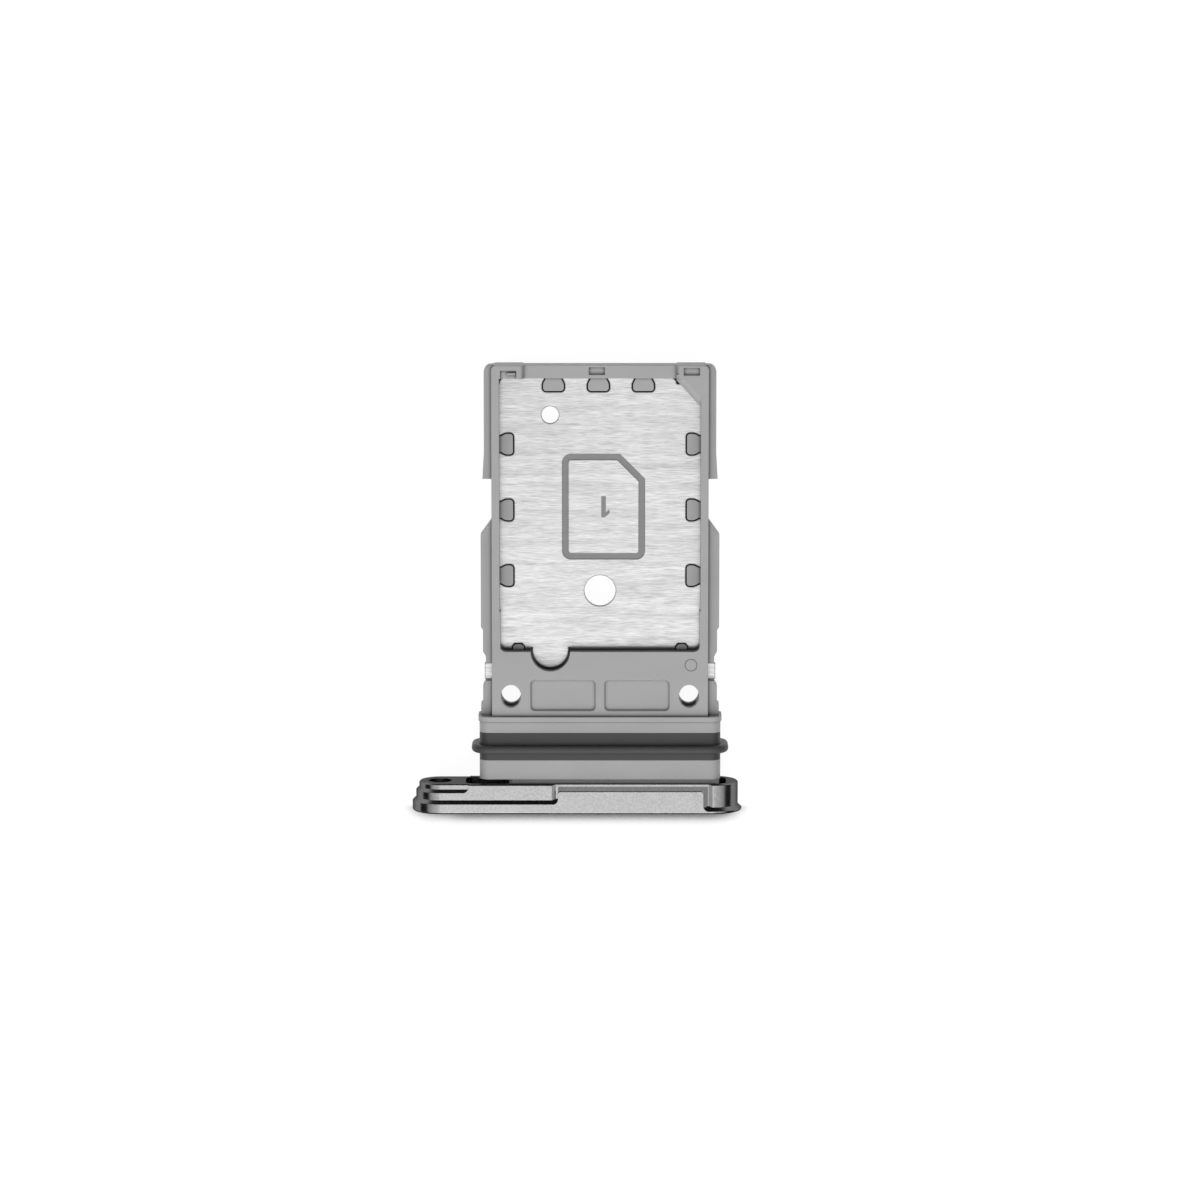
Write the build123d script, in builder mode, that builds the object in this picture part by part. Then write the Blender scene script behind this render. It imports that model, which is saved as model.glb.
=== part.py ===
from build123d import *
import math
import os

# A tray that carries two nano cards, one on each face of a steel sheet, into a phone.
# The origin is on the door's outer face, in the middle of the carrier.
# +Y goes into the phone, and +Z is the side of the first card.
os.makedirs("parts", exist_ok=True)

# Cards
card_width = 8.8
card_length = 12.3
card_play_side = 0.125
card_play_end = 0.03

# Door
door_flange = 0.46
door_thin_flange = 0.13
door_depth = 1.34
door_height = 2.6
door_inset = 0.165
door_face_round = 0.1
door_back_chamfer = 0.05
door_wall = 0.14
door_end_wall = 0.71
eject_land = 2.43
eject_radius = 0.535
eject_from_end = 1.26
eject_chamfer = 0.09
boss_length = 2.56
boss_depth = 0.39
boss_inset = 0.145
boss_round = 0.26
cavity_floor = 0.45
cavity_clearance = 0.1
cavity_left_gap = 1.96
cavity_right_gap = 0.32
pad_from_left = 6.62
pad_width = 6.58
pad_back_gap = 0.3
pad_corner = 0.12
pad_root_round = 0.24
ramp_width = 0.2
ramp_height = 0.085
recess_depth = 0.06
recess_left = 0.1
recess_right = 0.23
recess_slope = 0.18

# Tongue that fills the door's cavity
tongue_width = 9.53
tongue_inset = 0.05
tongue_corner = 0.3

# Neck, with its flange and the groove of the seal
neck_gap = 0.2
neck_length = 2.76
neck_stand = 0.575
neck_height = 1.8
neck_corner = 0.45
flange_stand = 0.05
flange_length = 0.22
flange_setback = 0.115
seal_from_end = 0.88
seal_length = 1.26
seal_depth = 0.35
seal_corner = 0.225
bead_stand = 0.36
bead_thickness = 0.37
bead_from_start = 0.52
bead_round = 0.165

# Block, rims and end bar of the carrier
tray_thickness = 1.6
block_length = 3.07
rim_width = 0.35
end_bar_depth = 0.59
end_bar_thickness = 1.0
end_bar_draft = 20
end_corner = 0.2
corner_block_width = 1.125
corner_block_round = 0.08
stop_width = 1.09
stop_length = 1.2
stop_from_end = 0.09
stop_round = 0.32
pocket_corner = 0.3
guide_width = 0.035
guide_length = 1.82

# Guide ledges: how far they stand out of the rims, and how long their stretches are
ledge_thickness = 0.8
ledge_wide = 0.5
ledge_middle = 0.41
ledge_rear = 0.34
ledge_narrow = 0.28
ledge_slope = 0.06
ledge_root = 0.175
foot_length = 0.62
cheek_length = 0.23
shoulder_length = 0.3
runner_from_wall = 1.08
runner_slope = 0.14
runner_length = 4.18
runner_lead = 0.71
rear_gap = 1.84
rear_bulge_length = 1.22
rear_corner = 0.33

# Holes, fields and marks of the carrier
block_hole_width = 0.91
block_hole_length = 1.04
block_hole_from_side = 0.855
block_hole_from_neck = 1.04
field_length = 1.45
field_corner = 0.22
field_depth = 0.1
field_draft = 32
field_gap = 0.37
field_to_hole = 0.41
field_from_neck = 0.36
mark_width = 0.72
mark_length = 0.34
mark_depth = 0.1
mark_from_side = 0.415
mark_shift = -0.14
mark_from_end = 0.09
open_mark_from_end = 0.22
mark_bar_width = 0.38
mark_bar_length = 0.1
mark_bar_shift = 0.13
pin_ring_radius = 0.28
pin_ring_width = 0.025
pin_ring_depth = 0.02
pin_ring_from_side = 0.77
pin_ring_from_wall = 0.6

# Lugs and stubs with which the carrier holds the sheet
lug_root = 0.82
lug_head = 1.05
lug_depth = 0.67
lug_throat = 0.05
lug_shoulder = 0.27
lug_tip_round = 0.2
lug_side_round = 0.4
lug_groove = 0.06
side_lug_from_wall = 3.38
side_lug_from_end = 3.01
side_lug_count = 3
end_lug_spacing = 2.02
end_lug_shift = -0.07
end_lug_count = 3
stub_root = 0.6
stub_tip = 0.36
stub_depth = 0.3
stub_round = 0.07
stub_from_side = 0.835

# Steel sheet between the two cards
sheet_thickness = 0.2
sheet_hold = 0.2
sheet_slit = 0.11
sheet_corner = 0.3
corner_web = 0.08
leg_clearance = 0.05
tab_radius = 0.81
tab_from_side = 2.285
tab_root_round = 0.12
tab_clearance = 0.08
small_hole_radius = 0.39
small_hole_from_side = 2.285
small_hole_from_end = 1.69
large_hole_radius = 0.705
large_hole_from_wall = 2.69
ear_length = 0.72
ear_from_neck = 2.09
ear_gap = 0.05

# Card symbol etched into both faces of the sheet
symbol_width = 3.7
symbol_length = 4.77
symbol_stroke = 0.26
symbol_shift = 0.16
symbol_from_wall = 6.51
symbol_cut = 1.12
symbol_corner = 0.38
symbol_depth = 0.03

# Places along the tray, from the door to the insertion end
boss_start = door_depth - boss_depth
flange_step = door_inset + recess_depth
neck_start = door_depth + neck_gap
seal_start = neck_start + seal_from_end
block_start = neck_start + neck_length
pocket_wall = block_start + block_length
pocket_length = card_length + 2 * card_play_end
pocket_end = pocket_wall + pocket_length
carrier_end = pocket_end + end_bar_depth
ear_y = block_start + ear_from_neck

# Places across the tray
pocket_side = card_width / 2 + card_play_side
rim_side = pocket_side + rim_width
neck_side = rim_side + neck_stand
sheet_side = pocket_side + sheet_hold
tab_x = tab_from_side - pocket_side
stop_left = pocket_side - stop_width
tongue_right = neck_side - tongue_inset
tongue_left = tongue_right - tongue_width
cavity_left = tongue_left - cavity_left_gap
cavity_right = tongue_right + cavity_right_gap
door_left = cavity_left - eject_land
door_right = cavity_right + door_end_wall
boss_end = door_left + boss_length
pad_left = door_left + pad_from_left
pad_right = pad_left + pad_width

# Heights
sheet_top = sheet_thickness / 2
tray_top = tray_thickness / 2
bar_top = end_bar_thickness / 2
door_top = door_height / 2
body_top = door_top - door_inset
recess_floor = body_top - recess_depth
tongue_height = door_height - 2 * (door_inset + boss_inset + door_wall + cavity_clearance)

# How far a cutting shape reaches past what it cuts
past = 0.5


def facing_door(y):
    """A plane across the tray at y: its x is +X, its y is +Z and its normal is -Y."""
    return Plane.XZ.offset(-y)


def lug_places():
    """Where the lugs' roots lie, and which way they point."""
    places = []
    spacing = (pocket_length - side_lug_from_wall - side_lug_from_end) / (side_lug_count - 1)
    for index in range(side_lug_count):
        y = pocket_wall + side_lug_from_wall + index * spacing
        places.append((-pocket_side, y, 0))
        places.append((pocket_side, y, 180))
    for index in range(end_lug_count):
        x = end_lug_shift + (index - (end_lug_count - 1) / 2) * end_lug_spacing
        places.append((x, pocket_end, -90))
    return places


def lug_profile(inset):
    """A lug seen from above: it starts inside the rim at x = 0, and its head lies towards +X."""
    with BuildSketch() as profile:
        with BuildLine():
            Polyline(
                (-sheet_hold / 2, lug_root / 2),
                (lug_throat, lug_root / 2),
                (lug_shoulder, lug_head / 2),
                (lug_depth, lug_head / 2),
                (lug_depth, -lug_head / 2),
                (lug_shoulder, -lug_head / 2),
                (lug_throat, -lug_root / 2),
                (-sheet_hold / 2, -lug_root / 2),
                close=True,
            )
        make_face()
        for x, size in ((lug_shoulder, lug_side_round), (lug_depth, lug_tip_round)):
            for side in (-1, 1):
                fillet(profile.vertices().sort_by_distance((x, side * lug_head / 2, 0))[0], size)
        if inset > 0:
            offset(amount=-inset, kind=Kind.INTERSECTION, mode=Mode.REPLACE)
    return profile.sketch


def stub_profile(inset):
    """The two stubs that reach from the pocket's front wall over the slit into the sheet's front edge."""
    root = stub_root / 2 - inset
    tip = stub_tip / 2 - inset
    with BuildSketch() as profile:
        for side in (-1, 1):
            middle = side * (pocket_side - stub_from_side)
            with BuildLine():
                Polyline(
                    (middle - root, pocket_wall - sheet_hold),
                    (middle - root, pocket_wall + stub_depth / 2),
                    (middle - tip, pocket_wall + stub_depth - inset),
                    (middle + tip, pocket_wall + stub_depth - inset),
                    (middle + root, pocket_wall + stub_depth / 2),
                    (middle + root, pocket_wall - sheet_hold),
                    close=True,
                )
            make_face()
        fillet(profile.vertices().group_by(Axis.Y)[-1], stub_round)
    return profile.sketch


def symbol_profile():
    """The outline of a card with one corner cut off, as a band of even width."""
    middle = pocket_wall + symbol_from_wall
    low = middle - symbol_length / 2
    high = middle + symbol_length / 2
    left = symbol_shift - symbol_width / 2
    right = symbol_shift + symbol_width / 2
    with BuildSketch() as outline:
        with BuildLine():
            Polyline(
                (left, low),
                (right, low),
                (right, high - symbol_cut),
                (right - symbol_cut, high),
                (left, high),
                close=True,
            )
        make_face()
        bottom = outline.vertices().group_by(Axis.Y)[0]
        top_left = outline.vertices().sort_by_distance((left, high, 0))[0]
        fillet(bottom + [top_left], symbol_corner)
        offset(amount=-symbol_stroke, kind=Kind.INTERSECTION, mode=Mode.SUBTRACT)
    return outline.sketch


def tab_profile(grow):
    """The rounded tab at the sheet's front edge, with the roots that flare into that edge."""
    radius = tab_radius + grow
    edge = pocket_wall + sheet_slit - grow
    with BuildSketch() as outline:
        with Locations((tab_x, pocket_wall)):
            Circle(radius)
        with Locations((tab_x, edge)):
            Rectangle(2 * (radius + tab_root_round + grow), 2 * past, align=(Align.CENTER, Align.MIN))
        roots = outline.vertices().group_by(Axis.Y)[1]
        fillet(roots, tab_root_round)
    return outline.sketch


# Steel sheet: a flat blank with cut-outs, a tab, and two ears on legs that run down inside the rims
# Its rear corners are rounded in both pockets' corners and beside the card stop, here with each one's side
leg_inner = pocket_side + leg_clearance
rear_corners = [(-pocket_side, -1), (pocket_side, 1), (stop_left, 1)]
with BuildPart() as divider_plate:
    with BuildSketch():
        with Locations((0, pocket_wall + sheet_slit)):
            Rectangle(
                2 * sheet_side,
                pocket_length - sheet_slit + sheet_hold,
                align=(Align.CENTER, Align.MIN),
            )
        for x, side in rear_corners:
            with Locations((x, pocket_end)):
                Rectangle(2 * sheet_corner, 2 * sheet_corner, mode=Mode.SUBTRACT)
            with Locations((x - side * sheet_corner, pocket_end - sheet_corner)):
                Circle(sheet_corner)
        for side in (-1, 1):
            corner_x = side * (pocket_side - sheet_corner)
            corner_y = pocket_wall + sheet_slit + sheet_corner
            with Locations((corner_x + side * sheet_corner / 2, corner_y - sheet_corner / 2)):
                Rectangle(sheet_corner, sheet_corner, mode=Mode.SUBTRACT)
            with Locations((corner_x, corner_y)):
                Circle(sheet_corner)
            with Locations((side * (leg_inner + sheet_side) / 2, ear_y - ear_length / 2)):
                Rectangle(
                    sheet_side - leg_inner,
                    pocket_wall + 2 * sheet_slit - ear_y + ear_length / 2,
                    align=(Align.CENTER, Align.MIN),
                )
            with Locations((side * (leg_inner + rim_side + ledge_rear) / 2, ear_y)):
                Rectangle(rim_side + ledge_rear - leg_inner, ear_length)
        add(tab_profile(0))
        for x, y, turn in lug_places():
            with Locations(Location((x, y), turn)):
                add(lug_profile(0), mode=Mode.SUBTRACT)
        add(stub_profile(0), mode=Mode.SUBTRACT)
        with Locations((small_hole_from_side - pocket_side, pocket_end - small_hole_from_end)):
            Circle(small_hole_radius, mode=Mode.SUBTRACT)
        with Locations((0, pocket_wall + large_hole_from_wall)):
            Circle(large_hole_radius, mode=Mode.SUBTRACT)
    extrude(amount=sheet_top, both=True)
    with BuildSketch(Plane.XY.offset(sheet_top)):
        add(symbol_profile())
    extrude(amount=-symbol_depth, mode=Mode.SUBTRACT)
    with BuildSketch(Plane.XY.offset(-sheet_top)):
        add(symbol_profile().mirror(Plane.YZ))
    extrude(amount=symbol_depth, mode=Mode.SUBTRACT)


# Ledges of the +X side, seen from above, with their inner edges inside the rim
ledge_inner = rim_side - ledge_root
ear_low = ear_y - ear_length / 2 - ear_gap
ear_high = ear_y + ear_length / 2 + ear_gap
foot_end = block_start + foot_length
cheek_start = ear_high + shoulder_length
runner_start = pocket_wall + runner_from_wall
runner_end = runner_start + runner_length
rear_start = runner_end + runner_lead + rear_gap
foot_outline = [
    (ledge_inner, block_start),
    (rim_side + ledge_wide, block_start),
    (rim_side + ledge_wide, foot_end),
    (rim_side + ledge_middle, foot_end + ledge_slope),
    (rim_side + ledge_middle, ear_low - cheek_length),
    (rim_side + ledge_narrow, ear_low),
    (ledge_inner, ear_low),
]
runner_outline = [
    (ledge_inner, ear_high),
    (rim_side + ledge_narrow, ear_high),
    (rim_side + ledge_narrow, cheek_start),
    (rim_side + ledge_middle, cheek_start + cheek_length),
    (rim_side + ledge_middle, runner_start - runner_slope),
    (rim_side + ledge_wide, runner_start),
    (rim_side + ledge_wide, runner_end),
    (rim_side, runner_end + runner_lead),
    (ledge_inner, runner_end + runner_lead),
]
rear_outline = [
    (ledge_inner, rear_start),
    (rim_side + ledge_middle, rear_start),
    (rim_side + ledge_rear, rear_start + rear_bulge_length),
    (rim_side + ledge_rear, carrier_end),
    (ledge_inner, carrier_end),
]
with BuildPart() as ledges:
    with BuildSketch() as plan:
        for outline in (foot_outline, runner_outline, rear_outline):
            with BuildLine():
                Polyline(*outline, close=True)
            make_face()
        rear_tip = plan.vertices().sort_by_distance((rim_side + ledge_rear, carrier_end, 0))[0]
        fillet(rear_tip, rear_corner)
        mirror(about=Plane.YZ)
    extrude(amount=ledge_thickness / 2, both=True)

# The corner that meets the cut corner of the first card, with its wall rounded over at the top
stop_front = pocket_end - stop_from_end - stop_length
with BuildPart() as card_stop:
    with BuildSketch(Plane.XY.offset(sheet_top)):
        with BuildLine():
            Polyline(
                (sheet_side, pocket_end + sheet_hold),
                (sheet_side, stop_front),
                (pocket_side, stop_front),
                (stop_left, pocket_end - stop_from_end),
                (stop_left, pocket_end + sheet_hold),
                close=True,
            )
        make_face()
    extrude(amount=tray_top - sheet_top)
    brow = card_stop.edges().sort_by_distance(
        ((pocket_side + stop_left) / 2, stop_front + stop_length / 2, tray_top)
    )[0]
    fillet(brow, stop_round)

# Carrier: block, rims and end bar at full height, then the ledges, the neck and the tongue
with BuildPart() as carrier:
    with BuildSketch():
        with Locations((0, block_start)):
            Rectangle(2 * rim_side, carrier_end - block_start, align=(Align.CENTER, Align.MIN))
    extrude(amount=tray_top, both=True)
    fillet(carrier.edges().filter_by(Axis.Z).group_by(Axis.Y)[-1], end_corner)
    with BuildSketch():
        with Locations((0, pocket_wall)):
            Rectangle(2 * pocket_side, pocket_length, align=(Align.CENTER, Align.MIN))
    extrude(amount=tray_thickness, both=True, mode=Mode.SUBTRACT)
    wall_corners = carrier.edges().filter_by(Axis.Z).filter_by(
        lambda edge: abs(edge.center().Y - pocket_wall) < guide_width
    )
    fillet(wall_corners, pocket_corner)
    with BuildSketch():
        add(tab_profile(tab_clearance))
    extrude(amount=tray_thickness, both=True, mode=Mode.SUBTRACT)
    # The end bar is lower than the rims between the two corner blocks
    for face in (1, -1):
        with BuildSketch(Plane.XY.offset(face * bar_top)):
            with Locations((0, pocket_end - past)):
                Rectangle(
                    2 * (pocket_side - corner_block_width),
                    end_bar_depth + 2 * past,
                    align=(Align.CENTER, Align.MIN),
                )
        extrude(amount=face * (tray_top - bar_top), taper=-end_bar_draft, mode=Mode.SUBTRACT)
    block_edges = []
    for side in (-1, 1):
        for face in (-1, 1):
            corner = (side * (pocket_side - corner_block_width), carrier_end, face * tray_top)
            upper = carrier.edges().filter_by(Axis.Y).sort_by_distance(corner)
            block_edges.append(upper[0])
    fillet(block_edges, corner_block_round)
    # A narrow guide on each side of the pockets near their front
    with BuildSketch():
        for side in (-1, 1):
            with Locations((side * pocket_side, pocket_wall)):
                Rectangle(2 * guide_width, guide_length, align=(Align.CENTER, Align.MIN))
    extrude(amount=tray_top, both=True)
    add(card_stop.part)
    add(card_stop.part.rotate(Axis.Y, 180))
    add(ledges.part)
    # A thin web closes the gaps at the sheet's rear corners
    with BuildSketch():
        for x, side in rear_corners:
            with Locations((x, pocket_end)):
                Rectangle(2 * sheet_corner, 2 * sheet_corner)
    extrude(amount=corner_web / 2, both=True)
    # Lugs and stubs: full size between the sheet's faces, a little smaller at its surface
    for inset, reach in ((0, sheet_top - lug_groove), (lug_groove, sheet_top)):
        with BuildSketch():
            for x, y, turn in lug_places():
                with Locations(Location((x, y), turn)):
                    add(lug_profile(inset))
            add(stub_profile(inset))
        extrude(amount=reach, both=True)
    # Neck with its flange, and the tongue
    with BuildSketch(facing_door(neck_start)):
        RectangleRounded(2 * neck_side, neck_height, neck_corner)
    extrude(amount=-neck_length)
    with BuildSketch(facing_door(block_start - flange_setback)):
        RectangleRounded(
            2 * (neck_side + flange_stand),
            neck_height + 2 * flange_stand,
            neck_corner + flange_stand,
        )
    extrude(amount=-flange_length)
    with BuildSketch(facing_door(cavity_floor)):
        with Locations(((tongue_left + tongue_right) / 2, 0)):
            RectangleRounded(tongue_width, tongue_height, tongue_corner)
    extrude(amount=cavity_floor - neck_start)
    # Groove for the seal
    with BuildSketch(facing_door(seal_start)):
        Rectangle(2 * (neck_side + past), neck_height + 2 * past)
        RectangleRounded(
            2 * (neck_side - seal_depth),
            neck_height - 2 * seal_depth,
            seal_corner,
            mode=Mode.SUBTRACT,
        )
    extrude(amount=-seal_length, mode=Mode.SUBTRACT)
    # Two holes through the block, and between them the shallow fields of the first card's side
    hole_x = rim_side - block_hole_from_side
    with BuildSketch():
        for side in (-1, 1):
            with Locations((side * hole_x, block_start + block_hole_from_neck)):
                Ellipse(block_hole_width / 2, block_hole_length / 2)
    extrude(amount=tray_thickness, both=True, mode=Mode.SUBTRACT)
    field_side = hole_x - block_hole_width / 2 - field_to_hole
    field_width = field_side - field_gap / 2
    with BuildSketch(Plane.XY.offset(tray_top)) as fields:
        for side in (-1, 1):
            with Locations((side * (field_side - field_width / 2), block_start + field_from_neck)):
                Rectangle(field_width, field_length, align=(Align.CENTER, Align.MIN))
        fillet(fields.vertices(), field_corner)
    extrude(amount=-field_depth, taper=field_draft, mode=Mode.SUBTRACT)
    # Marks that the ejector blades and one ejector pin of the mould leave
    mark_x = pocket_side - mark_from_side
    with BuildSketch(Plane.XY.offset(tray_top)):
        with Locations((mark_x, carrier_end - mark_from_end)):
            Rectangle(mark_width, mark_length, align=(Align.CENTER, Align.MAX))
        with Locations((-mark_x, carrier_end - open_mark_from_end)):
            Rectangle(mark_width, end_bar_depth, align=(Align.CENTER, Align.MAX))
        with Locations((mark_bar_shift - mark_x, carrier_end - open_mark_from_end - mark_bar_length)):
            Rectangle(mark_bar_width, mark_bar_length, align=(Align.CENTER, Align.MAX), mode=Mode.SUBTRACT)
    extrude(amount=-mark_depth, mode=Mode.SUBTRACT)
    with BuildSketch(Plane.XY.offset(bar_top)):
        with Locations((mark_shift, carrier_end - mark_from_end)):
            Rectangle(mark_width, mark_length, align=(Align.CENTER, Align.MAX))
    extrude(amount=-mark_depth, mode=Mode.SUBTRACT)
    with BuildSketch(Plane.XY.offset(tray_top)):
        with Locations((rim_side - pin_ring_from_side, pocket_wall - pin_ring_from_wall)):
            Circle(pin_ring_radius)
            Circle(pin_ring_radius - pin_ring_width, mode=Mode.SUBTRACT)
    extrude(amount=-pin_ring_depth, mode=Mode.SUBTRACT)
    # The sheet is moulded in, so the carrier fits round it
    add(divider_plate.part, mode=Mode.SUBTRACT)

# Seal: a band that fills the groove flush with the neck, with one round bead that stands out of it
with BuildPart() as bead:
    with BuildSketch(facing_door(seal_start + bead_from_start - bead_thickness / 2)):
        RectangleRounded(2 * (neck_side + bead_stand), neck_height + 2 * bead_stand, neck_corner + bead_stand)
    extrude(amount=-bead_thickness)
    rims = bead.edges().group_by(Axis.Y)
    fillet(rims[0] + rims[-1], bead_round)

with BuildPart() as seal:
    with BuildSketch(facing_door(seal_start)):
        RectangleRounded(2 * neck_side, neck_height, neck_corner)
    extrude(amount=-seal_length)
    add(bead.part)
    with BuildSketch(facing_door(seal_start)):
        RectangleRounded(2 * (neck_side - seal_depth), neck_height - 2 * seal_depth, seal_corner)
    extrude(amount=-seal_length, mode=Mode.SUBTRACT)


def door_outline(inset):
    """The door's round-ended outline, for a plane that faces the door."""
    with BuildSketch() as outline:
        with Locations(((door_left + door_right) / 2, 0)):
            SlotOverall(door_right - door_left - 2 * inset, door_height - 2 * inset)
    return outline.sketch


# Rear half of the door's body, milled away round the eject hole's boss but for a round corner
with BuildPart() as rear_body:
    with BuildSketch(facing_door(boss_start)):
        add(door_outline(door_inset))
    extrude(amount=-boss_depth)
    with BuildSketch() as kept:
        with BuildLine():
            Polyline(
                (door_left - past, boss_start - past),
                (door_right + past, boss_start - past),
                (door_right + past, door_depth + past),
                (boss_end, door_depth + past),
                (boss_end, boss_start),
                (door_left - past, boss_start),
                close=True,
            )
        make_face()
        fillet(kept.vertices().sort_by_distance((boss_end, boss_start, 0))[0], boss_round)
    extrude(amount=door_height, both=True, mode=Mode.INTERSECT)

# Pad that rises from the door's body to the height of its flange
pad_back = door_depth - pad_back_gap
with BuildPart() as pad:
    with BuildSketch(Plane.XY.offset(recess_floor)) as plan:
        with BuildLine():
            Polyline(
                (pad_left - 2 * pad_root_round, door_thin_flange / 2),
                (pad_right + 2 * pad_root_round, door_thin_flange / 2),
                (pad_right + 2 * pad_root_round, door_thin_flange),
                (pad_right, door_thin_flange),
                (pad_right, pad_back),
                (pad_left, pad_back),
                (pad_left, door_flange),
                (pad_left - 2 * pad_root_round, door_flange),
                close=True,
            )
        make_face()
        fillet(plan.vertices().group_by(Axis.Y)[-1], pad_corner)
        for x, y in ((pad_left, door_flange), (pad_right, door_thin_flange)):
            fillet(plan.vertices().sort_by_distance((x, y, 0))[0], pad_root_round)
    extrude(amount=door_top - recess_floor)
    # The pad's back and right sides run out in a low ramp
    with BuildSketch(Plane.XY.offset(recess_floor)):
        with Locations((pad_left, door_thin_flange)):
            Rectangle(
                pad_width + ramp_width,
                pad_back - door_thin_flange + ramp_width,
                align=(Align.MIN, Align.MIN),
            )
    extrude(amount=ramp_height, taper=math.degrees(math.atan2(ramp_width, ramp_height)))

# Flange: it is thin over the whole door, and thicker up to the pad's right side
with BuildPart() as thick_flange:
    with BuildSketch(facing_door(0)):
        add(door_outline(0))
    extrude(amount=-(door_flange + flange_step))
    chamfer(thick_flange.faces().sort_by(Axis.Y)[-1].edges(), flange_step)
    with BuildSketch() as plan:
        with BuildLine():
            Polyline(
                (door_left - past, -past),
                (door_right + past, -past),
                (door_right + past, door_thin_flange),
                (pad_right, door_thin_flange),
                (pad_right, door_depth),
                (door_left - past, door_depth),
                close=True,
            )
        make_face()
        fillet(plan.vertices().sort_by_distance((pad_right, door_thin_flange, 0))[0], pad_root_round)
    extrude(amount=door_height, both=True, mode=Mode.INTERSECT)

with BuildPart() as thin_flange:
    with BuildSketch(facing_door(0)):
        add(door_outline(0))
    extrude(amount=-(door_thin_flange + flange_step))
    chamfer(thin_flange.faces().sort_by(Axis.Y)[-1].edges(), flange_step)

# Door: body, boss, the recess round the pad, flange, pad, the cavity for the tongue and the eject hole
with BuildPart() as door:
    with BuildSketch(facing_door(door_thin_flange)):
        add(door_outline(door_inset))
    extrude(amount=door_thin_flange - boss_start)
    with BuildSketch(facing_door(boss_start)):
        add(door_outline(door_inset))
    with BuildSketch(facing_door(boss_start + boss_inset)):
        add(door_outline(door_inset + boss_inset))
    loft()
    with BuildSketch(facing_door(boss_start)):
        add(door_outline(door_inset + boss_inset))
    extrude(amount=-boss_depth)
    add(rear_body.part)
    chamfer(door.faces().filter_by(Axis.Y).sort_by(Axis.Y)[-1].edges(), door_back_chamfer)
    with BuildSketch(facing_door(door_thin_flange)):
        with BuildLine():
            Polyline(
                (pad_left - recess_left - recess_slope, body_top),
                (pad_left - recess_left, recess_floor),
                (pad_right + recess_right, recess_floor),
                (pad_right + recess_right + recess_slope, body_top),
                (pad_right + recess_right + recess_slope, door_top),
                (pad_left - recess_left - recess_slope, door_top),
                close=True,
            )
        make_face()
    extrude(amount=door_thin_flange - door_depth, mode=Mode.SUBTRACT)
    add(thick_flange.part)
    add(thin_flange.part)
    fillet(door.faces().sort_by(Axis.Y)[0].edges(), door_face_round)
    add(pad.part)
    with BuildSketch(facing_door(cavity_floor)):
        with Locations(((cavity_left + cavity_right) / 2, 0)):
            RectangleRounded(
                cavity_right - cavity_left,
                tongue_height + 2 * cavity_clearance,
                tongue_corner + cavity_clearance,
            )
    extrude(amount=cavity_floor - door_depth, mode=Mode.SUBTRACT)
    with BuildSketch(facing_door(0)):
        with Locations((door_left + eject_from_end, 0)):
            Circle(eject_radius)
    extrude(amount=-door_depth, mode=Mode.SUBTRACT)
    mouth = door.edges().filter_by(GeomType.CIRCLE).sort_by_distance((door_left + eject_from_end, 0, 0))[0]
    chamfer(mouth, eject_chamfer)

door.part.label = "door"
carrier.part.label = "carrier"
divider_plate.part.label = "divider_plate"
seal.part.label = "seal"
export_step(door.part, "parts/door.step")
export_step(carrier.part, "parts/carrier.step")
export_step(divider_plate.part, "parts/divider_plate.step")
export_step(seal.part, "parts/seal.step")
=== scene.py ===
"""Looks of a phone's card tray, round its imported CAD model. Lengths are in metres unless a name says mm."""
import math

import bpy
from mathutils import Matrix, Vector

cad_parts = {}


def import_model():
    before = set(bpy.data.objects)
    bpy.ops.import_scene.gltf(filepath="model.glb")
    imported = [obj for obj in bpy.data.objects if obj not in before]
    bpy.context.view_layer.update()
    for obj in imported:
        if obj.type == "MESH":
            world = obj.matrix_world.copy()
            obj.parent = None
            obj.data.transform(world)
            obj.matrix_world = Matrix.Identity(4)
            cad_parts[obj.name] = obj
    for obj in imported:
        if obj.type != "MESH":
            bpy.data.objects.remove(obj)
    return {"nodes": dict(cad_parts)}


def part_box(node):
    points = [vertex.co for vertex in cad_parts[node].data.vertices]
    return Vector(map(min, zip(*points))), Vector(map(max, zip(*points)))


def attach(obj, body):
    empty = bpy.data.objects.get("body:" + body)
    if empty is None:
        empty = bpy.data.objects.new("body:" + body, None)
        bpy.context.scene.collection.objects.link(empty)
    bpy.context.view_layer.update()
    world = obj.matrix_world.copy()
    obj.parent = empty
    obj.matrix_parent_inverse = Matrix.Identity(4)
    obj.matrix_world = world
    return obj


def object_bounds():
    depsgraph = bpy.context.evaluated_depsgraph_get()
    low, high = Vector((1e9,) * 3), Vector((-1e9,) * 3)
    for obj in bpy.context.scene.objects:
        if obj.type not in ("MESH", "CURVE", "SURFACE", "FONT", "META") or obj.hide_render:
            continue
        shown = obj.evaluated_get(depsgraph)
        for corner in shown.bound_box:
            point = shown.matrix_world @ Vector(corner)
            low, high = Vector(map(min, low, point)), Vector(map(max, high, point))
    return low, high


MM = 0.001

# Camera of the photograph: above the tray, leaning towards the insertion end
FRAME_PIXELS = 1200
SENSOR_MM = 36.0
FOCAL_PIXELS = 4925
CAMERA_PLACE = Vector((0.0, 0.043, 0.220))
CAMERA_AIM = Vector((0.0, 0.009618, 0.0))
IMAGE_UP = Vector((0.0, 1.0, 0.0))
CLIP_START = 0.01
CLIP_END = 10.0

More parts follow.
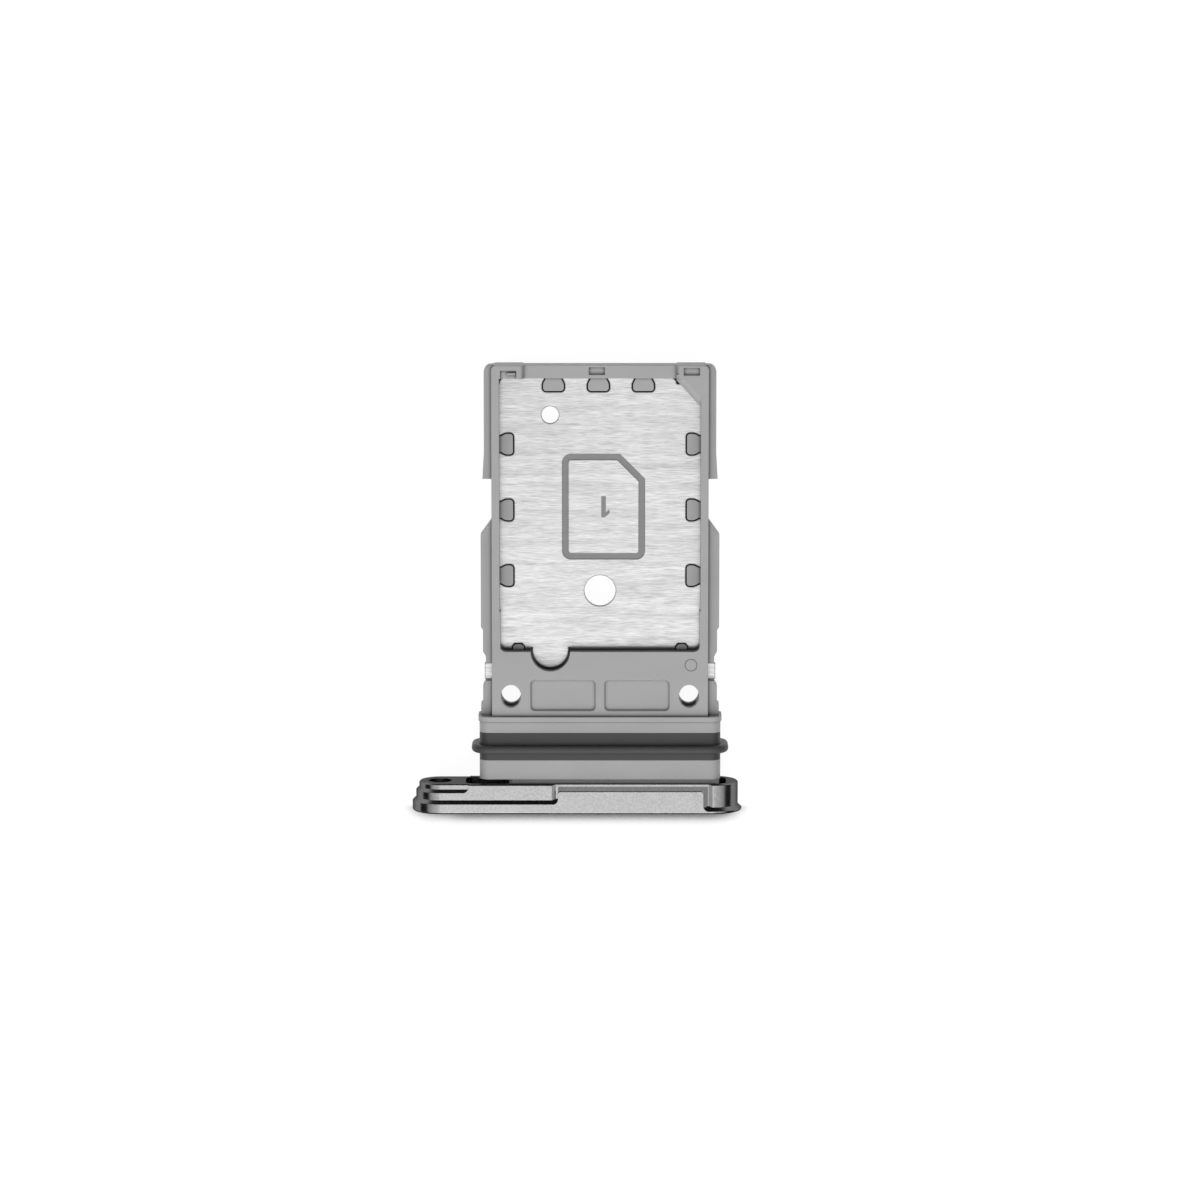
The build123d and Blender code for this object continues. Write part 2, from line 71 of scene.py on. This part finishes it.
# Light: a soft box overhead towards the door, a lower one in front, a pale room, and dark cards all round
SOFTBOX_PLACE = Vector((-0.015, -0.195, 0.300))
SOFTBOX_WIDTH = 0.17
SOFTBOX_LENGTH = 0.30
SOFTBOX_RADIANCE = 1.3
FRONT_BOX_PLACE = Vector((-0.10, -0.30, 0.15))
FRONT_BOX_WIDTH = 0.22
FRONT_BOX_LENGTH = 0.12
FRONT_BOX_RADIANCE = 2.0
ROOM_LIGHT_FRONT = 1.65
ROOM_LIGHT_BACK = 0.30
CARD_RING_RADIUS = 0.20
CARD_RING_TOP = 0.13
CARD_RING_TOP_FRONT = 0.045
CARD_RING_SIDES = 48
CARD_RING_FRONT = math.radians(50)
CARD_GREY = 0.02

# Floor
FLOOR_SIZE = 3.0
FLOOR_GREY = 0.86
FLOOR_GLOW = 0.94
FLOOR_PAPER_SHARE = 0.15

# The door's painted shadow on the floor: its reach, its start, and how open the view is where it begins and
# ends
SHADOW_REACH = 1.3 * MM
SHADOW_START = -0.2 * MM
SHADOW_SAMPLES = 16
SHADOW_OPEN = (0.66, 0.94)
CONTACT_OPEN = (0.77, 0.83)
CONTACT_LIGHT = (0.1, 1.0)

# Painted shadow on the floor under the slit between the carrier's block and the sheet, where no light comes
DARK_START = 6.0 * MM
DARK_END = 7.6 * MM
DARK_SIDE = 4.4 * MM
DARK_FADE = 0.1 * MM

# Inside of the card pocket in the carrier, where the painted shade of its walls and gaps goes
POCKET_SIDE = 4.56 * MM
POCKET_END = 19.77 * MM
POCKET_FADE = 0.05 * MM

# Samples of the nodes that look round a point, and ranges that a value is taken from and brought to
LOOK_ROUND_SAMPLES = 5
SOFT_EDGE_SAMPLES = 4
NOISE_RANGE = (0.3, 0.7)
RISING = (0.0, 1.0)
FALLING = (1.0, 0.0)
GRAIN_DEPTH = 0.004 * MM

# Carrier: greys and roughness go with the noise from low to high, and heights are from the tray's middle
PLASTIC_GREY = (0.360, 0.395)
PLASTIC_ROUGHNESS = (0.42, 0.50)
PLASTIC_SPECULAR = 0.35
PLASTIC_SOFT_EDGE = 0.04 * MM
PLASTIC_GRAIN_PER_MM = 16.0
PLASTIC_GRAIN_SHARE = 0.25
PLASTIC_GRAIN_DEPTH = 0.005 * MM
PLASTIC_BUMP = 0.10
FLOW_MARKS_PER_MM = (0.25, 0.6, 0.25)
# Painted shade: in creases, on the pocket's walls that face the insertion end, and in the gaps beside the
# sheet
CREASE_REACH = 0.16 * MM
CREASE_OPEN = (0.40, 0.95)
CREASE_SHADE_GREY = 0.08
UNLIT_GREY = 0.02
UNLIT_SHARE = 0.94
UNLIT_FACING = (0.3, 0.8)
UNLIT_HEIGHT_MM = (0.25, 0.85)
GAP_SHADE_HEIGHT_MM = (0.070, 0.085)

# Sheet: brushing, scratches, the etched symbol's floor, and painted shade along the punched edges
STEEL_GREY = (0.42, 0.70)
STEEL_ROUGHNESS = (0.40, 0.30)
STEEL_TINT = 0.35
STEEL_SOFT_EDGE = 0.015 * MM
STEEL_BUMP = 0.35
FINE_BRUSH_STRETCH = (1.1, 27.0, 1.0)
FINE_BRUSH_SHARE = 0.7
WIDE_BRUSH_STRETCH = (0.22, 3.4, 1.0)
WIDE_BRUSH_TURN = (0.0, 0.0, 0.05)
BRUSH_GREY_RANGE = (0.36, 0.60)
BRUSH_ROUGHNESS_RANGE = (0.36, 0.64)
SCRATCH_STRETCH = (0.85, 42.0, 1.0)
SCRATCH_RANGE = (0.57, 0.70)
SCRATCH_SHARE = 0.5
SCRATCH_GREY = 0.16
ETCHED_HEIGHT_MM = (0.080, 0.092)
ETCHED_GREY = 0.25
ETCHED_ROUGHER = 0.2
EDGE_SHADE_REACH = 0.055 * MM
EDGE_SHADE_OPEN = (0.55, 0.90)
EDGE_SHADE_GREY = 0.06
NUMBER_GREY = (0.22, 0.28)
NUMBER_ROUGHNESS = 0.55
NUMBER_GRAIN_PER_MM = 22.0
NUMBER_BUMP = 0.2

# Door: painted light on the up-facing flats, painted shade on walls and slopes, and the blasted outer face
# with painted shade on the edges that turn towards it
LIT_FLAT_GREY = (0.29, 0.37)
SHADED_WALL_GREY = (0.15, 0.19)
BLASTED_AND_SHADED_GREY = (0.022, 0.040)
FLAT_FACING = (0.90, 0.98)
OUTER_FACING = (-0.45, -0.12)
DOOR_ROUGHNESS = (0.18, 0.25)
OUTER_ROUGHER = 0.25
DOOR_TINT = 0.30
DOOR_SOFT_EDGE = 0.025 * MM
DOOR_GRAIN_PER_MM = 12.0
DOOR_GRAIN_SHARE = 0.8
DOOR_CLOUDS_PER_MM = 1.3
DOOR_TONE_RANGE = (0.35, 0.65)
DOOR_BUMP = 0.06

# Seal
RUBBER_GREY = (0.040, 0.056)
RUBBER_ROUGHNESS = (0.42, 0.55)
RUBBER_SPECULAR = 0.4
RUBBER_STRETCH = (0.5, 2.0, 2.0)
RUBBER_GRAIN_PER_MM = 4.0
RUBBER_BUMP = 0.1

# Card numbers in the etched symbols
DIGIT_HEIGHT = 0.97 * MM
DIGIT_STROKE = 0.21 * MM
DIGIT_RELIEF = 0.003 * MM
SYMBOL_X = 0.16 * MM
SYMBOL_FROM_REAR = 6.05 * MM

# Shape of the numerals: flag and foot in strokes, bowl as a share of the height and in degrees
FLAG_REACH = 1.3
FLAG_TOP = 0.85
FLAG_BOTTOM = 1.8
FLAG_ROOT = 1.15
BOWL_SHARE = 0.29
BOWL_FROM = 170
BOWL_SWEEP = 205
BOWL_STEPS = 12
FOOT_START = 1.5


class Nodes:
    """A node tree, with short calls for the nodes used here."""

    def __init__(self, tree):
        self.tree = tree

    def node(self, kind, **settings):
        made = self.tree.nodes.new(kind)
        for key, value in settings.items():
            setattr(made, key, value)
        return made

    def link(self, source, target):
        self.tree.links.new(source, target)

    def feed(self, socket, value):
        """Links a socket of another node, or writes a plain value."""
        if isinstance(value, bpy.types.NodeSocket):
            self.link(value, socket)
        else:
            socket.default_value = value

    def math(self, operation, first, second=0.0):
        made = self.node("ShaderNodeMath", operation=operation)
        self.feed(made.inputs[0], first)
        self.feed(made.inputs[1], second)
        return made.outputs[0]

    def span(self, value, source, target):
        """value from the source range mapped to the target range, and held at its ends."""
        made = self.node("ShaderNodeMapRange")
        for index, number in enumerate((value, *source, *target)):
            self.feed(made.inputs[index], number)
        return made.outputs[0]

    def seen(self):
        """1 for what the camera sees, also by way of mirrors and clear things, and 0 for what gives light."""
        path = self.node("ShaderNodeLightPath")
        direct = self.math("MAXIMUM", path.outputs["Is Camera Ray"], path.outputs["Is Glossy Ray"])
        return self.math("MAXIMUM", direct, path.outputs["Is Transmission Ray"])


class Shader(Nodes):
    """A new material and its node tree."""

    def __init__(self, name):
        self.material = bpy.data.materials.new(name)
        self.material.use_nodes = True
        super().__init__(self.material.node_tree)
        self.tree.nodes.clear()
        self.output = self.node("ShaderNodeOutputMaterial")

    def place(self, stretch=(1.0, 1.0, 1.0), turn=(0.0, 0.0, 0.0)):
        """Object coordinates in millimetres, stretched along the axes and turned."""
        coordinates = self.node("ShaderNodeTexCoord")
        mapping = self.node("ShaderNodeMapping")
        mapping.inputs["Scale"].default_value = [factor / MM for factor in stretch]
        mapping.inputs["Rotation"].default_value = turn
        self.link(coordinates.outputs["Object"], mapping.inputs["Vector"])
        return mapping.outputs[0]

    def axes(self):
        """The object coordinates in millimetres, one socket each."""
        split = self.node("ShaderNodeSeparateXYZ")
        self.link(self.place(), split.inputs[0])
        return split.outputs[0], split.outputs[1], split.outputs[2]

    def facing(self):
        """The surface's direction in object coordinates, one socket each."""
        coordinates = self.node("ShaderNodeTexCoord")
        split = self.node("ShaderNodeSeparateXYZ")
        self.link(coordinates.outputs["Normal"], split.inputs[0])
        return split.outputs[0], split.outputs[1], split.outputs[2]

    def noise(self, vector, scale, detail=3.0, roughness=0.55, distortion=0.0):
        made = self.node("ShaderNodeTexNoise")
        made.inputs["Scale"].default_value = scale
        made.inputs["Detail"].default_value = detail
        made.inputs["Roughness"].default_value = roughness
        made.inputs["Distortion"].default_value = distortion
        self.link(vector, made.inputs["Vector"])
        return made.outputs[0]

    def blend(self, first, second, share):
        """The first value with the given share, and the second with the rest."""
        kept = self.math("MULTIPLY", first, share)
        return self.math("ADD", kept, self.math("MULTIPLY", second, 1.0 - share))

    def mix(self, factor, first, second):
        """Colour between two greys or colours."""
        made = self.node("ShaderNodeMix", data_type="RGBA")
        self.feed(made.inputs["Factor"], factor)
        self.feed(made.inputs["A"], grey(first) if isinstance(first, float) else first)
        self.feed(made.inputs["B"], grey(second) if isinstance(second, float) else second)
        return made.outputs["Result"]

    def bump(self, height, strength, distance, normal=None):
        made = self.node("ShaderNodeBump")
        made.inputs["Strength"].default_value = strength
        made.inputs["Distance"].default_value = distance
        self.link(height, made.inputs["Height"])
        if normal is not None:
            self.link(normal, made.inputs["Normal"])
        return made.outputs[0]

    def soft_edge(self, radius):
        """Normals that round the sharp edges off."""
        made = self.node("ShaderNodeBevel", samples=SOFT_EDGE_SAMPLES)
        made.inputs["Radius"].default_value = radius
        return made.outputs[0]

    def crease(self, reach, samples=LOOK_ROUND_SAMPLES):
        """1 on open faces, less in corners and narrow gaps."""
        made = self.node("ShaderNodeAmbientOcclusion", samples=samples)
        made.inputs["Distance"].default_value = reach
        return made.outputs["AO"]

    def rim(self, reach):
        """1 on open faces, less along the piece's own outer edges."""
        made = self.node("ShaderNodeAmbientOcclusion", inside=True, only_local=True)
        made.samples = LOOK_ROUND_SAMPLES
        made.inputs["Distance"].default_value = reach
        return made.outputs["AO"]

    def diffuse(self, level):
        """A matte surface of the given grey."""
        made = self.node("ShaderNodeBsdfDiffuse")
        made.inputs["Color"].default_value = grey(level)
        return made.outputs[0]

    def principled(self, **values):
        made = self.node("ShaderNodeBsdfPrincipled")
        for key, value in values.items():
            self.feed(made.inputs[key.replace("_", " ")], value)
        self.finish(made.outputs[0])

    def finish(self, surface):
        """Makes this the material's surface."""
        self.link(surface, self.output.inputs["Surface"])


def grey(level):
    return (level, level, level, 1.0)


def in_mm(*lengths):
    return tuple(length / MM for length in lengths)


def carrier_plastic():
    """Matte grey moulding: a fine spark-eroded grain, faint flow marks, and painted shade in creases, in the
    gaps and on the pocket's walls that face the insertion end.
    """
    shader = Shader("carrier_plastic")
    x, y, z = shader.axes()
    _, facing_y, _ = shader.facing()
    height = shader.math("ABSOLUTE", z)
    side = shader.math("ABSOLUTE", x)
    across = shader.span(side, in_mm(POCKET_SIDE, POCKET_SIDE + POCKET_FADE), FALLING)
    along = shader.span(y, in_mm(POCKET_END, POCKET_END + POCKET_FADE), FALLING)
    in_pocket = shader.math("MULTIPLY", across, along)
    grain = shader.noise(shader.place(), PLASTIC_GRAIN_PER_MM, detail=2.0)
    cloud = shader.noise(shader.place(FLOW_MARKS_PER_MM), 1.0, detail=2.0)
    tone = shader.span(shader.blend(grain, cloud, PLASTIC_GRAIN_SHARE), NOISE_RANGE, RISING)
    # Painted shade: darker in corners and creases, where little light reaches
    open_share = shader.span(shader.crease(CREASE_REACH), CREASE_OPEN, RISING)
    crease_shaded = shader.mix(open_share, CREASE_SHADE_GREY, shader.mix(tone, *PLASTIC_GREY))
    # Painted shade on the pocket's walls that face the insertion end, darkest near the sheet
    inward = shader.span(facing_y, UNLIT_FACING, (0.0, UNLIT_SHARE))
    shaded = shader.math("MULTIPLY", inward, shader.span(height, UNLIT_HEIGHT_MM, FALLING))
    # Painted shade in the gaps beside the sheet, lower than its faces
    gap_shade = shader.span(height, GAP_SHADE_HEIGHT_MM, FALLING)
    # The painted shade of walls and gaps, inside the pocket only; it also makes these places rougher
    dark = shader.math("MULTIPLY", shader.math("MAXIMUM", shaded, gap_shade), in_pocket)
    shader.principled(
        Base_Color=shader.mix(dark, crease_shaded, UNLIT_GREY),
        Roughness=shader.math("MAXIMUM", shader.span(grain, NOISE_RANGE, PLASTIC_ROUGHNESS), dark),
        Specular_IOR_Level=PLASTIC_SPECULAR,
        Normal=shader.bump(grain, PLASTIC_BUMP, PLASTIC_GRAIN_DEPTH, shader.soft_edge(PLASTIC_SOFT_EDGE)),
    )
    return shader.material


def sheet_steel():
    """Stainless steel, brushed across the tray, with a duller etched symbol and painted shade along the
    punched edges.
    """
    shader = Shader("sheet_steel")
    _, _, z = shader.axes()
    fine_place = shader.place(FINE_BRUSH_STRETCH)
    fine = shader.noise(fine_place, 1.5, detail=4.0, roughness=0.65, distortion=0.25)
    wide = shader.noise(shader.place(WIDE_BRUSH_STRETCH, WIDE_BRUSH_TURN), 1.0, distortion=0.3)
    brush = shader.blend(fine, wide, FINE_BRUSH_SHARE)
    scratches = shader.noise(shader.place(SCRATCH_STRETCH), 1.3, detail=1.0)
    brushed = shader.mix(shader.span(brush, BRUSH_GREY_RANGE, RISING), *STEEL_GREY)
    scratched = shader.mix(shader.span(scratches, SCRATCH_RANGE, (0.0, SCRATCH_SHARE)), brushed, SCRATCH_GREY)
    # Duller where lower than the sheet's faces: the etched symbol's floor, and the sheet's side walls, where
    # it is painted shade
    etched = shader.span(shader.math("ABSOLUTE", z), ETCHED_HEIGHT_MM, FALLING)
    # Painted shade: darker along the sheet's own edges, round its holes and outline
    open_share = shader.span(shader.rim(EDGE_SHADE_REACH), EDGE_SHADE_OPEN, RISING)
    roughness = shader.span(brush, BRUSH_ROUGHNESS_RANGE, STEEL_ROUGHNESS)
    shader.principled(
        Base_Color=shader.mix(open_share, EDGE_SHADE_GREY, shader.mix(etched, scratched, ETCHED_GREY)),
        Metallic=1.0,
        Roughness=shader.math("ADD", roughness, shader.math("MULTIPLY", etched, ETCHED_ROUGHER)),
        Specular_Tint=grey(STEEL_TINT),
        Normal=shader.bump(brush, STEEL_BUMP, GRAIN_DEPTH, shader.soft_edge(STEEL_SOFT_EDGE)),
    )
    return shader.material


def etched_steel():
    """The dull grey of the etched numbers."""
    shader = Shader("etched_steel")
    grain = shader.noise(shader.place(), NUMBER_GRAIN_PER_MM, detail=2.0)
    shader.principled(
        Base_Color=shader.mix(grain, *NUMBER_GREY),
        Metallic=1.0,
        Roughness=NUMBER_ROUGHNESS,
        Normal=shader.bump(grain, NUMBER_BUMP, GRAIN_DEPTH),
    )
    return shader.material


def door_metal():
    """Anodised aluminium: painted light on the up-facing flats, painted shade on walls and slopes, and a dark
    blasted outer face with painted shade on the edges that turn towards it.
    """
    shader = Shader("door_metal")
    grain = shader.noise(shader.place(), DOOR_GRAIN_PER_MM, detail=2.0, roughness=0.5)
    cloud = shader.noise(shader.place(), DOOR_CLOUDS_PER_MM, detail=2.0)
    tone = shader.span(shader.blend(grain, cloud, DOOR_GRAIN_SHARE), DOOR_TONE_RANGE, RISING)
    _, facing_y, facing_z = shader.facing()
    # Painted light and shade by the way a face points: up-facing flats brighter, walls and slopes darker
    lit_flat = shader.span(shader.math("ABSOLUTE", facing_z), FLAT_FACING, RISING)
    # The blasted outer face is dark; the same mask puts painted shade on the rounded edges that turn towards
    # it
    outer = shader.span(facing_y, OUTER_FACING, FALLING)
    inner_side = shader.mix(lit_flat, shader.mix(tone, *SHADED_WALL_GREY), shader.mix(tone, *LIT_FLAT_GREY))
    roughness = shader.span(grain, NOISE_RANGE, DOOR_ROUGHNESS)
    shader.principled(
        Base_Color=shader.mix(outer, inner_side, shader.mix(tone, *BLASTED_AND_SHADED_GREY)),
        Metallic=1.0,
        Roughness=shader.math("ADD", roughness, shader.math("MULTIPLY", outer, OUTER_ROUGHER)),
        Specular_Tint=grey(DOOR_TINT),
        Normal=shader.bump(grain, DOOR_BUMP, GRAIN_DEPTH, shader.soft_edge(DOOR_SOFT_EDGE)),
    )
    return shader.material


def seal_rubber():
    """Dark silicone with a dull skin."""
    shader = Shader("seal_rubber")
    grain = shader.noise(shader.place(RUBBER_STRETCH), RUBBER_GRAIN_PER_MM)
    shader.principled(
        Base_Color=shader.mix(grain, *RUBBER_GREY),
        Roughness=shader.span(grain, NOISE_RANGE, RUBBER_ROUGHNESS),
        Specular_IOR_Level=RUBBER_SPECULAR,
        Normal=shader.bump(grain, RUBBER_BUMP, GRAIN_DEPTH),
    )
    return shader.material


def floor_paper():
    """White paper that glows for camera and mirrors; painted shadow dims it before the door and under the
    carrier's block.
    """
    shader = Shader("floor_paper")
    x, y, _ = shader.axes()
    # Painted shadow before the door, from how open the floor is round it, darkest at the contact
    open_share = shader.crease(SHADOW_REACH, SHADOW_SAMPLES)
    contact = shader.span(open_share, CONTACT_OPEN, CONTACT_LIGHT)
    openness = shader.math("MULTIPLY", shader.span(open_share, SHADOW_OPEN, RISING), contact)
    front = shader.span(y, in_mm(SHADOW_START, 0.0), FALLING)
    shade = shader.math("MULTIPLY", shader.math("SUBTRACT", 1.0, openness), front)
    # Painted shadow under the carrier's block, seen through the slit
    side = shader.math("ABSOLUTE", x)
    under = shader.span(side, in_mm(DARK_SIDE - DARK_FADE, DARK_SIDE), FALLING)
    for edge, light in ((DARK_START, RISING), (DARK_END, FALLING)):
        within = shader.span(y, in_mm(edge, edge + DARK_FADE), light)
        under = shader.math("MULTIPLY", under, within)
    shade = shader.math("MAXIMUM", shade, under)
    seen = shader.seen()
    surface = shader.node("ShaderNodeMixShader")
    shader.link(shader.math("MULTIPLY", seen, 1.0 - FLOOR_PAPER_SHARE), surface.inputs[0])
    shader.link(shader.diffuse(FLOOR_GREY), surface.inputs[1])
    shader.link(shader.diffuse(0.0), surface.inputs[2])
    glow = shader.math("MULTIPLY", shader.math("SUBTRACT", 1.0, shade), FLOOR_GLOW)
    light = shader.node("ShaderNodeEmission")
    shader.link(shader.math("MULTIPLY", glow, seen), light.inputs["Strength"])
    both = shader.node("ShaderNodeAddShader")
    shader.link(surface.outputs[0], both.inputs[0])
    shader.link(light.outputs[0], both.inputs[1])
    shader.finish(both.outputs[0])
    return shader.material


def new_mesh(name, vertices, faces, material):
    mesh = bpy.data.meshes.new(name)
    mesh.from_pydata(vertices, [], faces)
    mesh.update()
    mesh.materials.append(material)
    made = bpy.data.objects.new(name, mesh)
    bpy.context.scene.collection.objects.link(made)
    return made


def make_floor(height):
    half = FLOOR_SIZE / 2
    corners = [(-half, -half, height), (half, -half, height), (half, half, height), (-half, half, height)]
    floor = new_mesh("floor", corners, [(0, 1, 2, 3)], floor_paper())


def make_dark_cards(height):
    """Dark card in a ring round the tray, low in front. Metal edges mirror it, but it is out of sight."""
    shader = Shader("dark_card")
    shader.finish(shader.diffuse(CARD_GREY))
    vertices = []
    faces = []
    for index in range(CARD_RING_SIDES):
        from_front = 2 * math.pi * index / CARD_RING_SIDES - math.pi
        x = CARD_RING_RADIUS * math.sin(from_front)
        y = -CARD_RING_RADIUS * math.cos(from_front)
        top = CARD_RING_TOP_FRONT if abs(from_front) < CARD_RING_FRONT else CARD_RING_TOP
        vertices.append((x, y, height))
        vertices.append((x, y, top))
        after = (index + 1) % CARD_RING_SIDES
        faces.append((2 * index, 2 * after, 2 * after + 1, 2 * index + 1))
    ring = new_mesh("dark_cards", vertices, faces, shader.material)
    ring.visible_camera = False
    ring.visible_shadow = False


def make_softbox(name, place, width, length, radiance):
    """A rectangular lamp that faces the tray, with the given brightness of its surface."""
    light = bpy.data.lights.new(name, "AREA")
    light.shape = "RECTANGLE"
    light.size = width
    light.size_y = length
    light.energy = radiance * math.pi * width * length
    made = bpy.data.objects.new(name, light)
    made.location = place
    made.rotation_euler = (-place).to_track_quat("-Z", "Y").to_euler()
    made.visible_camera = False
    bpy.context.scene.collection.objects.link(made)


def make_room():
    """White where the camera and mirrors look. For everything else a soft light, brighter from the front."""
    world = bpy.data.worlds.new("room")
    world.use_nodes = True
    bpy.context.scene.world = world
    room = Nodes(world.node_tree)
    coordinates = room.node("ShaderNodeTexCoord")
    split = room.node("ShaderNodeSeparateXYZ")
    room.link(coordinates.outputs["Generated"], split.inputs[0])
    soft = room.span(split.outputs["Y"], (-1.0, 1.0), (ROOM_LIGHT_FRONT, ROOM_LIGHT_BACK))
    background = world.node_tree.nodes["Background"]
    background.inputs["Color"].default_value = grey(1.0)
    room.link(room.span(room.seen(), (0.0, 1.0), (soft, 1.0)), background.inputs["Strength"])


def make_camera():
    data = bpy.data.cameras.new("camera")
    data.sensor_width = SENSOR_MM
    data.lens = SENSOR_MM * FOCAL_PIXELS / FRAME_PIXELS
    data.clip_start = CLIP_START
    data.clip_end = CLIP_END
    camera = bpy.data.objects.new("camera", data)
    back = (CAMERA_PLACE - CAMERA_AIM).normalized()
    right = IMAGE_UP.cross(back).normalized()
    up = back.cross(right)
    turn = Matrix((right, up, back)).transposed().to_4x4()
    camera.matrix_world = Matrix.Translation(CAMERA_PLACE) @ turn
    bpy.context.scene.collection.objects.link(camera)
    bpy.context.scene.camera = camera


def dress(nodes):
    """Gives each CAD node its material."""
    finishes = {
        "door": door_metal(),
        "carrier": carrier_plastic(),
        "divider_plate": sheet_steel(),
        "seal": seal_rubber(),
    }
    for name, material in finishes.items():
        for slot in nodes[name].material_slots:
            slot.material = material


def digit_one():
    """The numeral 1, upright, round its own middle."""
    half = DIGIT_HEIGHT / 2
    stroke = DIGIT_STROKE
    right = stroke / 2
    flag = -FLAG_REACH * stroke
    return [
        (right, -half),
        (right, half),
        (-right / 2, half),
        (flag, half - FLAG_TOP * stroke),
        (flag, half - FLAG_BOTTOM * stroke),
        (-right, half - FLAG_ROOT * stroke),
        (-right, -half),
    ]


def digit_two():
    """The numeral 2, upright, round its own middle."""
    half = DIGIT_HEIGHT / 2
    stroke = DIGIT_STROKE
    bowl = BOWL_SHARE * DIGIT_HEIGHT
    middle = half - bowl
    outer = []
    inner = []
    for step in range(BOWL_STEPS + 1):
        angle = math.radians(BOWL_FROM - BOWL_SWEEP * step / BOWL_STEPS)
        outer.append((bowl * math.cos(angle), middle + bowl * math.sin(angle)))
        inner.append(((bowl - stroke) * math.cos(angle), middle + (bowl - stroke) * math.sin(angle)))
    foot = [
        (-bowl + FOOT_START * stroke, -half + stroke),
        (bowl, -half + stroke),
        (bowl, -half),
        (-bowl, -half),
        (-bowl, -half + stroke),
    ]
    return outer + foot + inner[::-1]


def make_number(name, outline, face, sheet, material):
    """An etched number on one face of the sheet, head towards the door, as a thin raised plate."""
    middle_y = sheet[1].y - SYMBOL_FROM_REAR
    low = face * sheet[1].z
    high = low + face * DIGIT_RELIEF
    points = [(face * (SYMBOL_X - u), middle_y - v) for u, v in outline]
    count = len(points)
    vertices = [(x, y, low) for x, y in points] + [(x, y, high) for x, y in points]
    faces = [tuple(range(count, 2 * count))]
    for index in range(count):
        after = (index + 1) % count
        faces.append((index, after, count + after, count + index))
    number = new_mesh(name, vertices, faces, material)
    number.data.validate()
    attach(number, "root")


def main():
    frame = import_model()
    cad_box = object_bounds()
    bpy.context.scene.view_settings.view_transform = "Standard"
    dress(frame["nodes"])
    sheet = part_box("divider_plate")
    etched = etched_steel()
    make_number("first_card_number", digit_one(), 1, sheet, etched)
    make_number("second_card_number", digit_two(), -1, sheet, etched)
    floor_height = cad_box[0].z
    make_floor(floor_height)
    make_dark_cards(floor_height)
    make_softbox("softbox", SOFTBOX_PLACE, SOFTBOX_WIDTH, SOFTBOX_LENGTH, SOFTBOX_RADIANCE)
    make_softbox("front_box", FRONT_BOX_PLACE, FRONT_BOX_WIDTH, FRONT_BOX_LENGTH, FRONT_BOX_RADIANCE)
    make_room()
    make_camera()


main()
